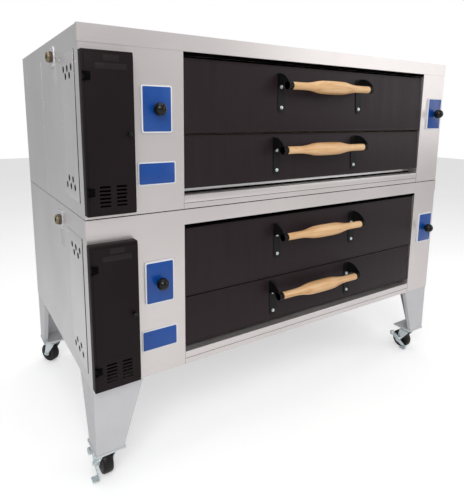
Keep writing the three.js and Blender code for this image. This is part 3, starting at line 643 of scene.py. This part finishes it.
def control_door(deck):
    body = f"{deck.short}_control_door"
    x, y = HINGE["x"], HINGE["y"]
    back = DOOR_FRONT + 2.5
    panel = deck.block(9, 169, DOOR_FRONT, back, 29, 543, 0.9)
    notches = [deck.block(5, 13.6, DOOR_FRONT - 3, back + 3, z - 15, z + 15) for z in HINGE["z"]]
    feet = [SLOTS["bottom"] + row * SLOTS["pitch"] for row in range(SLOTS["rows"])]
    slots = [deck.block(centre - SLOTS["half"], centre + SLOTS["half"], DOOR_FRONT - 5, back + 5,
                        foot, foot + SLOTS["height"]) for centre in SLOTS["columns"] for foot in feet]
    latch_hole = rod(deck.at(LATCH["x"], -40, LATCH["z"]), deck.at(LATCH["x"], -25, LATCH["z"]), 4.6 * MM)
    bend = deck.block(20.6, 22.2, DOOR_FRONT - 0.35, DOOR_FRONT + 0.5, 31, 541, 0.3)
    panel = carve(panel, merge(*notches, *slots), latch_hole)
    add(deck.node("cover_door"), merge(panel, bend), "cover_black", body,
        replaces=[deck.node("control_door")])
    leaves = []
    for z in HINGE["z"]:
        barrel = rod(deck.at(x, y, z - 9), deck.at(x, y, z + 9), HINGE["radius"] * MM, 24)
        bore = rod(deck.at(x, y, z - 30), deck.at(x, y, z + 30), 2.1 * MM, 16)
        leaves += [carve(barrel, bore), deck.block(x + 2.6, 18.5, y - 3.6, back, z - 9, z + 9, 0.8),
                   deck.block(14, 27, DOOR_FRONT - 1.6, DOOR_FRONT + 0.4, z - 13.5, z + 13.5, 0.6)]
    add(deck.node("cover_hinge_leaves"), merge(*leaves), "hinge_black", body)
    labels = [deck.block(x0, x1, DOOR_FRONT - 0.35, DOOR_FRONT + 0.3, z0, z0 + 19, 0.1)
              for x0, x1, z0 in ((69, 121, 520), (43, 146, 494))]
    add(deck.node("cover_blank_labels"), merge(*labels), "cover_label", body)


def control_latch(deck):
    """The knob, its spindle through the door, and the cam behind it."""
    at = deck.at
    x, z = LATCH["x"], LATCH["z"]
    profile = [(0, 0), (0, 5.2), (1.2, 6.6), (2.4, 7), (11.6, 7), (13, 6.2), (13, 5.5), (16.6, 5.5),
               (17, 5), (17, 0)]
    knob = moved(lathe(in_metres(profile), 36), pointing((0, 1, 0), at(x, DOOR_FRONT - 17.5, z)))
    spindle = rod(at(x, DOOR_FRONT - 1.5, z), at(x, -24.2, z), 4 * MM)
    cam = deck.block(x - 4, x + 4, -26.2, -23.2, z - 16, z + 5, 0.8)
    add(deck.node("latch_knob"), merge(knob, spindle, cam), "knob_black", f"{deck.short}_latch",
        [deck.node("control_latch")])


def plate_through_hole(low, high, radius):
    centre, beyond = (low + high) / 2, 10 * MM
    return rod((centre.x, low.y - beyond, centre.z), (centre.x, high.y + beyond, centre.z), radius)


def blank_plate(node, inset, bevel, segments=2, has_hole=False):
    """A white plate with a blank blue face that leaves a white border."""
    low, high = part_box(node)
    outline = rounded_outline(low.x, high.x, low.z, high.z, 8 * MM)
    plate = prism(outline, low.y, high.y, "xz", bevel, segments)
    outline = rounded_outline(low.x + inset, high.x - inset, low.z + inset, high.z - inset, 5 * MM)
    face = prism(outline, low.y - 0.4 * MM, low.y + 0.3 * MM, "xz", 0.15 * MM)
    if has_hole:
        plate = carve(plate, plate_through_hole(low, high, 5.6 * MM))
        face = carve(face, plate_through_hole(low, high, 6 * MM))
    add(f"{node}_back", plate, "panel_white", "cabinet", [node])
    add(f"{node}_face", face, "panel_blue", "cabinet")


BALL_RADIUS = 23.5


def damper_knob(deck, side):
    """A ball on a stem, and the arm and blade that it pulls inside the casing."""
    node = deck.node(f"damper_knob_{side}")
    low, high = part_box(node)
    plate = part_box(deck.node(f"control_plate_{side}"))
    centre = (plate[0] + plate[1]) / 2
    radius = BALL_RADIUS * MM
    ball_y = low.y + radius
    steps = [math.pi * k / 28 for k in range(27)]
    ball = [(-radius * math.cos(a), radius * math.sin(a)) for a in steps]
    knob = moved(lathe(ball + [(radius, 0)], 56), pointing((0, 1, 0), (centre.x, ball_y, centre.z)))
    body = f"{deck.short}_damper_{side}"
    add(f"{node}_ball", knob, "knob_black", body, replaces=[node])
    inward = 1 if side == "left" else -1
    wall = high.x if inward > 0 else low.x
    sides = sorted((wall, wall - inward * 3 * MM))
    reach = sorted((centre.x, wall))
    half = 8 * MM
    stem = rod((centre.x, ball_y + 20 * MM, centre.z), (centre.x, high.y, centre.z), 5 * MM)
    arm = rounded_box((reach[0], high.y - half, centre.z - half),
                      (reach[1], high.y, centre.z + half), 1.5 * MM)
    blade = rounded_box((sides[0], deck.at(0, 685, 0).y, low.z), (sides[1], high.y, high.z), 0.6 * MM)
    add(f"{node}_rod", merge(stem, arm, blade), "zinc", body)


# ---------------------------------------------------------------- doors
DOOR_HEIGHTS = {"bake": 273, "burner": 200}
DOOR_LEAN = math.radians(-3)
PIVOT = 7 * MM
STRAP_HALF = 18 * MM


class Door:
    """A leaning door's own frame: x from the deck's left side, y from the face, z from the bottom edge."""

    def __init__(self, deck, name):
        self.deck, self.name = deck, name
        self.body = f"{deck.short}_{name}_door"
        pivot = Vector(JOINTS[f"{self.body}_hinge"]["pos_m"])
        self.matrix = (Matrix.Translation(pivot) @ Matrix.Rotation(DOOR_LEAN, 4, "X")
                       @ Matrix.Translation((deck.origin.x - pivot.x, -PIVOT, -PIVOT)))
        low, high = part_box(deck.node(f"{name}_grip"))
        self.grip = self.matrix.inverted() @ ((low + high) / 2)
        self.grip_half = (high.x - low.x) / 2
        low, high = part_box(deck.node(f"{name}_handle_frame"))
        self.handles = (low.x - deck.origin.x + STRAP_HALF, high.x - deck.origin.x - STRAP_HALF)

    def add(self, part, bm, material, slot=None, replaces=()):
        name = self.deck.node(f"{self.name}_{part}")
        return add(name, moved(bm, self.matrix), material, self.body, replaces)


def door_leaf(door):
    node = door.deck.node(f"{door.name}_door")
    low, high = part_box(node)
    pin = 9 * MM
    left, right = low.x - door.deck.origin.x + pin, high.x - door.deck.origin.x - pin
    height = DOOR_HEIGHTS[door.name] * MM
    face = rounded_box((left, 0, 0), (right, 14 * MM, height), 3 * MM, 4)
    inset = Vector((12 * MM, 0, 10 * MM))
    pan = rounded_box(Vector((left, 12 * MM, 0)) + inset, Vector((right, 26 * MM, height)) - inset, 4 * MM, 4)
    hems = [rounded_box((left + 4 * MM, -0.5 * MM, z0), (right - 4 * MM, 1 * MM, z1), 0.5 * MM)
            for z0, z1 in ((1.5 * MM, 8 * MM), (height - 8 * MM, height - 1.5 * MM))]
    pins = [rod((left - pin, PIVOT, PIVOT), (left + 2 * MM, PIVOT, PIVOT), 4 * MM),
            rod((right - 2 * MM, PIVOT, PIVOT), (right + pin, PIVOT, PIVOT), 4 * MM)]
    door.add("door_leaf", merge(face, pan, *hems, *pins), "door_black", replaces=[node])
    # Near-black patches on the back pan, painted as the shade in vent slots that are not cut through.
    centres = [left + (right - left) * share for share in (0.2, 0.4, 0.6, 0.8)]
    slots = [rounded_box((x - 40 * MM, 25.6 * MM, 20 * MM), (x + 40 * MM, 26.2 * MM, 28 * MM), 0.2 * MM)
             for x in centres]
    door.add("door_vent_shades", merge(*slots), "black_and_painted_shade", "door_black")


# Pairs of distance along and radius, in millimetres.
FERRULE_PROFILE = ((0, 0), (0, 15.6), (1, 16.5), (8, 16.5), (8.6, 15.2), (10, 15.2), (10.6, 16.5), (15, 16.5),
                   (15.6, 15.2), (17, 15.2), (17.6, 16.5), (23, 16.5), (24, 15.8), (24, 0))


def handle_horn(bolt, reach):
    """The side view of the plate that carries the grip out from the door."""
    top = bezier((-GAP, bolt + 55 * MM), (-28 * MM, bolt + 55 * MM), (-58 * MM, bolt + 44 * MM),
                 (-reach - 15 * MM, bolt + 8 * MM))
    nose = arc((-reach, bolt), 16.5 * MM, math.pi - 0.4, 2 * math.pi - 0.3, 14)
    bottom = bezier(nose[-1], (-reach + 22 * MM, bolt + 9 * MM), (-26 * MM, bolt + 14 * MM),
                    (-GAP, bolt - 6 * MM))
    return top + nose + bottom[1:]


def handle(door):
    bolt, reach = door.grip.z, -door.grip.y
    sheet = 3 * MM
    horn = handle_horn(bolt, reach)
    straps, bolts = [], []
    for x, side in zip(door.handles, (-1, 1)):
        outline = rounded_outline(x - STRAP_HALF, x + STRAP_HALF, bolt - 106 * MM, bolt + 55 * MM,
                                  15 * MM, 10)
        straps.append(prism(outline, -sheet - GAP, -GAP, "xz", 0.8 * MM, 3))
        outer = x + side * STRAP_HALF
        straps.append(prism(horn, *sorted((outer, outer - side * sheet)), "yz", 0.7 * MM))
        ferrule = lathe(in_metres(FERRULE_PROFILE), 48)
        straps.append(moved(ferrule, pointing((-side, 0, 0), (outer, -reach, bolt))))
        bolts += [hex_bolt((x, -sheet - GAP, z), (0, -1, 0), 9.6 * MM, 5 * MM)
                  for z in (bolt, bolt - 84 * MM)]
    tie = rod((door.handles[0], -reach, bolt), (door.handles[1], -reach, bolt), 6 * MM)
    door.add("handle_brackets", merge(*straps, tie), "bracket_black",
             replaces=[door.deck.node(f"{door.name}_handle_frame")])
    door.add("handle_bolts", merge(*bolts), "zinc", "bracket_black")


# Pairs of share of the half length and radius in millimetres, from one end to the middle.
GRIP_PROFILE = ((1.0, 14.2), (0.99, 15.4), (0.83, 15.5), (0.66, 15.8), (0.56, 17.6), (0.46, 21.2),
                (0.38, 24.6), (0.3, 27.0), (0.2, 28.0), (0.1, 28.4), (0.0, 28.5))


def grip(door):
    half = door.grip_half
    side = [(-half * share, radius * MM) for share, radius in GRIP_PROFILE]
    outline = smooth_line(side + [(-a, r) for a, r in reversed(side[:-1])])
    profile = [(-half, 6.3 * MM)] + outline + [(half, 6.3 * MM)]
    turned = moved(lathe(profile, 64, True), Matrix.Translation(door.grip))
    door.add("grip_turned", turned, "grip_wood", replaces=[door.deck.node(f"{door.name}_grip")])


def smooth_line(points, steps=5):
    """A smooth line through every point."""
    out = [points[0]]
    for k in range(len(points) - 1):
        p = [points[max(k - 1, 0)], points[k], points[k + 1], points[min(k + 2, len(points) - 1)]]
        for step in range(1, steps + 1):
            t = step / steps
            weights = (-0.5 * t + t * t - 0.5 * t ** 3, 1 - 2.5 * t * t + 1.5 * t ** 3,
                       0.5 * t + 2 * t * t - 1.5 * t ** 3, -0.5 * t * t + 0.5 * t ** 3)
            out.append(tuple(sum(w * q[i] for w, q in zip(weights, p)) for i in (0, 1)))
    return out


# ---------------------------------------------------------------- legs and casters
def leg(name):
    """A leg, the caster's top plate under it, and the bolts through both."""
    node = f"leg_{name}"
    dress(node, "leg_paint", 1.1 * MM)
    low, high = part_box(node)
    sx, sy = (-1 if "right" in name else 1), (-1 if "rear" in name else 1)
    corner_x = low.x if sx > 0 else high.x
    corner_y = low.y if sy > 0 else high.y
    width, edge = 115 * MM, 0.3 * MM
    xs, ys = sorted((corner_x, corner_x + sx * width)), sorted((corner_y, corner_y + sy * width))
    plate = rounded_box((xs[0] - edge, ys[0] - edge, low.z - edge),
                        (xs[1] + edge, ys[1] + edge, low.z + 6 * MM), 1.4 * MM)
    add(f"caster_plate_{name}", plate, "zinc", "cabinet")
    spots = [(corner_x + sx * x * MM, corner_y + sy * y * MM) for x in (15, 103) for y in (15, 103)]
    heads = [hex_bolt((x, y, low.z - edge), (0, 0, -1), 11 * MM, 5 * MM) for x, y in spots]
    tops = [hex_bolt((x, y, low.z + 8.2 * MM), (0, 0, 1), 11 * MM, 6 * MM) for x, y in spots[1:]]
    add(f"leg_bolts_{name}", merge(*heads, *tops), "zinc", "cabinet")


WHEEL_WIDTH = 42
FORK_HALF = 27
FORK_TOP = 118
BRAKE = {"x": -42, "low": (-21, 18), "high": (66, 84)}


def caster(name, brake):
    """A caster's own frame has x along the axle, y along the trail and its origin under the swivel."""
    swivel = Vector(JOINTS[f"swivel_{name}_turn"]["pos_m"])
    spin = JOINTS[f"wheel_{name}_spin"]
    axle = Vector(spin["axis"])
    turn = Matrix.Rotation(math.atan2(axle.y, axle.x), 4, "Z")
    place = Matrix.Translation((swivel.x, swivel.y, 0)) @ turn
    height = Vector(spin["pos_m"]).z
    trail = (Vector(spin["pos_m"]) - Vector((swivel.x, swivel.y, height))).length
    fork = caster_fork(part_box(f"caster_fork_{name}")[1].z, trail, height, brake)
    add(f"caster_fork_{name}_plated", moved(fork, place), "zinc", f"swivel_{name}",
        replaces=[f"caster_fork_{name}"])
    seat = place @ Matrix.Translation((0, trail, height))
    w = WHEEL_WIDTH / 2
    tread = [(-w, 17), (-w, 43), (-w + 1.5, 47.5), (-w + 6, 50.4), (0, 51),
             (w - 6, 50.4), (w - 1.5, 47.5), (w, 43), (w, 17)]
    hub = [(-w - 2.5, 5.6), (-w - 2.5, 14), (-w - 1, 17), (-w - 0.4, 17.4), (-w - 0.4, 30), (-w + 1, 31),
           (w - 1, 31), (w + 0.4, 30), (w + 0.4, 17.4), (w + 1, 17), (w + 2.5, 14), (w + 2.5, 5.6)]
    tyre, centre = (lathe(in_metres(profile), 64, True) for profile in (tread, hub))
    add(f"caster_tyre_{name}", moved(tyre, seat), "wheel_rubber", f"wheel_{name}",
        replaces=[f"caster_wheel_{name}"])
    add(f"caster_hub_{name}", moved(centre, seat), "cover_black", f"wheel_{name}")
    if brake:
        rocker_brake(name, place, trail, height)


def caster_fork(top, trail, height, brake):
    """The ball race, bridge, two cheeks, axle and nuts, in the caster's own frame."""
    half, sheet = FORK_HALF * MM, 3 * MM
    rise = top / MM - FORK_TOP
    race_profile = [(0, 0), (0, 20), (2, 26), (8, 27), (12, 25), (16, 27), (rise - 0.2, 24), (rise, 0)]
    race = moved(lathe(in_metres(race_profile), 48), pointing((0, 0, 1), (0, 0, FORK_TOP * MM)))
    under = (FORK_TOP - 4) * MM
    bridge = rounded_box((-half, -24 * MM, under), (half, 34 * MM, (FORK_TOP + 1) * MM), 1.6 * MM)
    upper = in_metres([(34, FORK_TOP), (-24, FORK_TOP), (-22, 106)])
    lower = arc((trail, height), 15 * MM, math.radians(-200), math.radians(20), 14)
    outline = upper + lower + in_metres([(34, 100)])
    cheeks = [prism(outline, *span, "yz", 0.9 * MM)
              for span in ((-half, -half + sheet), (half - sheet, half))]
    axle = rod(((BRAKE["x"] + 3) * MM, trail, height), (half + 8 * MM, trail, height), 5 * MM)
    nuts = [hex_bolt((half, trail, height), (1, 0, 0), 15 * MM, 7 * MM)]
    if not brake:
        nuts.append(hex_bolt((-half, trail, height), (-1, 0, 0), 15 * MM, 9 * MM))
    king = hex_bolt((0, 0, under), (0, 0, -1), 15 * MM, 7 * MM)
    return merge(race, bridge, *cheeks, axle, *nuts, king)


def rocker_brake(name, place, trail, height):
    """A rocker on the axle's end: hub, arm, pedal at the low front end, knob at the high rear end."""
    outer, inner = BRAKE["x"] * MM, (-FORK_HALF - 0.6) * MM
    (low_y, low_z), (high_y, high_z) = in_metres([BRAKE["low"], BRAKE["high"]])
    length, bore = inner - outer, 5.5 * MM
    hub = moved(lathe([(0, bore), (0, 12 * MM), (length, 12 * MM), (length, bore)], 40, True),
                Matrix.Translation((outer, trail, height)))
    arm_line = [(low_y - 5 * MM, low_z), (low_y + 9 * MM, low_z - 2 * MM), (trail + 7 * MM, height - 10 * MM),
                (high_y + 8 * MM, high_z - 7 * MM), (high_y - 5 * MM, high_z + 8 * MM),
                (trail - 7 * MM, height + 10 * MM), (low_y - 3 * MM, low_z + 11 * MM)]
    arm = carve(prism(arm_line, outer, outer + 3 * MM, "yz", 0.7 * MM),
                rod((outer - 10 * MM, trail, height), (outer + 10 * MM, trail, height), bore))
    pedal = rounded_box((outer - 24 * MM, low_y - 10 * MM, low_z),
                        (outer + 1 * MM, low_y + 24 * MM, low_z + 3.5 * MM), 1.7 * MM)
    knob_profile = [(0, 0), (0, 8), (1.5, 9), (1.5, 12.5), (3, 14), (14, 14), (16, 12.8), (17, 11), (17, 0)]
    knob = moved(lathe(in_metres(knob_profile), 40), Matrix.Translation((outer - 16 * MM, high_y, high_z)))
    cap = hex_bolt((outer, trail, height), (-1, 0, 0), 15 * MM, 8 * MM)
    add(f"caster_brake_{name}_lever", moved(merge(hub, arm, pedal, knob, cap), place), "zinc",
        f"brake_{name}", replaces=[f"caster_brake_{name}"])


# ---------------------------------------------------------------- the oven
for deck_name in DECKS:
    deck = Deck(deck_name)
    cabinet_sheets(deck)
    flue_slats(deck)
    vent_panel(deck)
    burner(deck)
    gas_train(deck)
    side_labels(deck)
    thermostat_dial(deck)
    control_cover(deck)
    control_door(deck)
    control_latch(deck)
    for side in ("left", "right"):
        blank_plate(deck.node(f"control_plate_{side}"), 4.6 * MM, 1.2 * MM, 3, has_hole=True)
        damper_knob(deck, side)
    blank_plate(deck.node("badge_plate"), 4.2 * MM, 0.5 * MM)
    for door in (Door(deck, name) for name in DOOR_HEIGHTS):
        door_leaf(door)
        handle(door)
        grip(door)

for corner in ("front_left", "front_right", "rear_left", "rear_right"):
    leg(corner)
    caster(corner, "front" in corner)


# ---------------------------------------------------------------- stage, lights and camera
STUDIO_LIGHT = 0.43
FLOOR_GLOW = 0.34
CAMERA = {"right": (0.8461, -0.5331, 0.0070), "forward": (0.5266, 0.8335, -0.1672),
          "from_corner": (-0.37599, -1.44882), "height": 1.38609, "lens": 31.597,
          "shift_x": 0.0196, "shift_y": -0.11598}


def seen_by_camera(tree, otherwise, seen):
    """One strength for what the camera sees directly, another for the light that falls on the oven."""
    strength = tree.nodes.new("ShaderNodeMapRange")
    strength.inputs["To Min"].default_value = otherwise
    strength.inputs["To Max"].default_value = seen
    tree.links.new(tree.nodes.new("ShaderNodeLightPath").outputs["Is Camera Ray"], strength.inputs["Value"])
    return strength.outputs["Result"]


def stage():
    mesh = bpy.data.meshes.new("floor")
    size = 14
    corners = [(-size, -size, 0), (size, -size, 0), (size, size, 0), (-size, size, 0)]
    mesh.from_pydata(corners, [], [(0, 1, 2, 3)])
    n = Nodes("floor")
    tone = n.ramp(n.noise(0.6, 2), [(0.3, (0.90, 0.90, 0.90)), (0.7, (0.93, 0.93, 0.93))])
    n.set(Base_Color=tone, Roughness=0.75)
    n.set(Emission_Color=(1, 1, 1, 1), Emission_Strength=seen_by_camera(n.tree, 0.0, FLOOR_GLOW))
    mesh.materials.append(n.material)
    floor = bpy.data.objects.new("floor", mesh)
    bpy.context.scene.collection.objects.link(floor)
    world = bpy.data.worlds.new("studio")
    world.use_nodes = True
    tree = world.node_tree
    tree.links.new(seen_by_camera(tree, STUDIO_LIGHT, 1.0), tree.nodes["Background"].inputs["Strength"])
    tree.nodes["Background"].inputs["Color"].default_value = (1, 1, 1, 1)
    bpy.context.scene.world = world


def area_light(name, place, target, size, power):
    data = bpy.data.lights.new(name, "AREA")
    data.size = size
    data.energy = power
    light = bpy.data.objects.new(name, data)
    light.location = place
    light.rotation_euler = (Vector(target) - Vector(place)).to_track_quat("-Z", "Y").to_euler()
    bpy.context.scene.collection.objects.link(light)


def camera():
    """The camera stands off the oven's upper left front corner and looks slightly down at it."""
    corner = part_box("top_deck_top_band")[0]
    offset = CAMERA["from_corner"]
    place = (corner.x + offset[0], corner.y + offset[1], CAMERA["height"])
    right = Vector(CAMERA["right"]).normalized()
    forward = Vector(CAMERA["forward"]).normalized()
    up = right.cross(forward)
    data = bpy.data.cameras.new("camera")
    data.sensor_width = 36
    data.lens = CAMERA["lens"]
    obj = bpy.data.objects.new("camera", data)
    obj.rotation_mode = "XYZ"
    obj.matrix_world = Matrix([*zip(right, up, -forward, place), (0, 0, 0, 1)])
    bpy.context.scene.collection.objects.link(obj)
    bpy.context.scene.camera = obj
    # The off-centre lens belongs to this view only: other views set the rotation mode to quaternion,
    # which a driver reads as 0.
    for path in ("shift_x", "shift_y"):
        driver = data.driver_add(path).driver
        mode = driver.variables.new()
        mode.name = "mode"
        mode.targets[0].id = obj
        mode.targets[0].data_path = "rotation_mode"
        driver.expression = f"mode * {CAMERA[path]}"


stage()
area_light("key", (-2.6, -3.6, 3.8), (0, 0, 1.1), size=2.6, power=108)
area_light("fill", (3.4, -3.0, 2.6), (0, 0, 1.0), size=3.0, power=30)
area_light("top", (0, 0.4, 4.4), (0, 0, 1.0), size=3.2, power=55)
camera()
bpy.context.scene.view_settings.view_transform = "Standard"
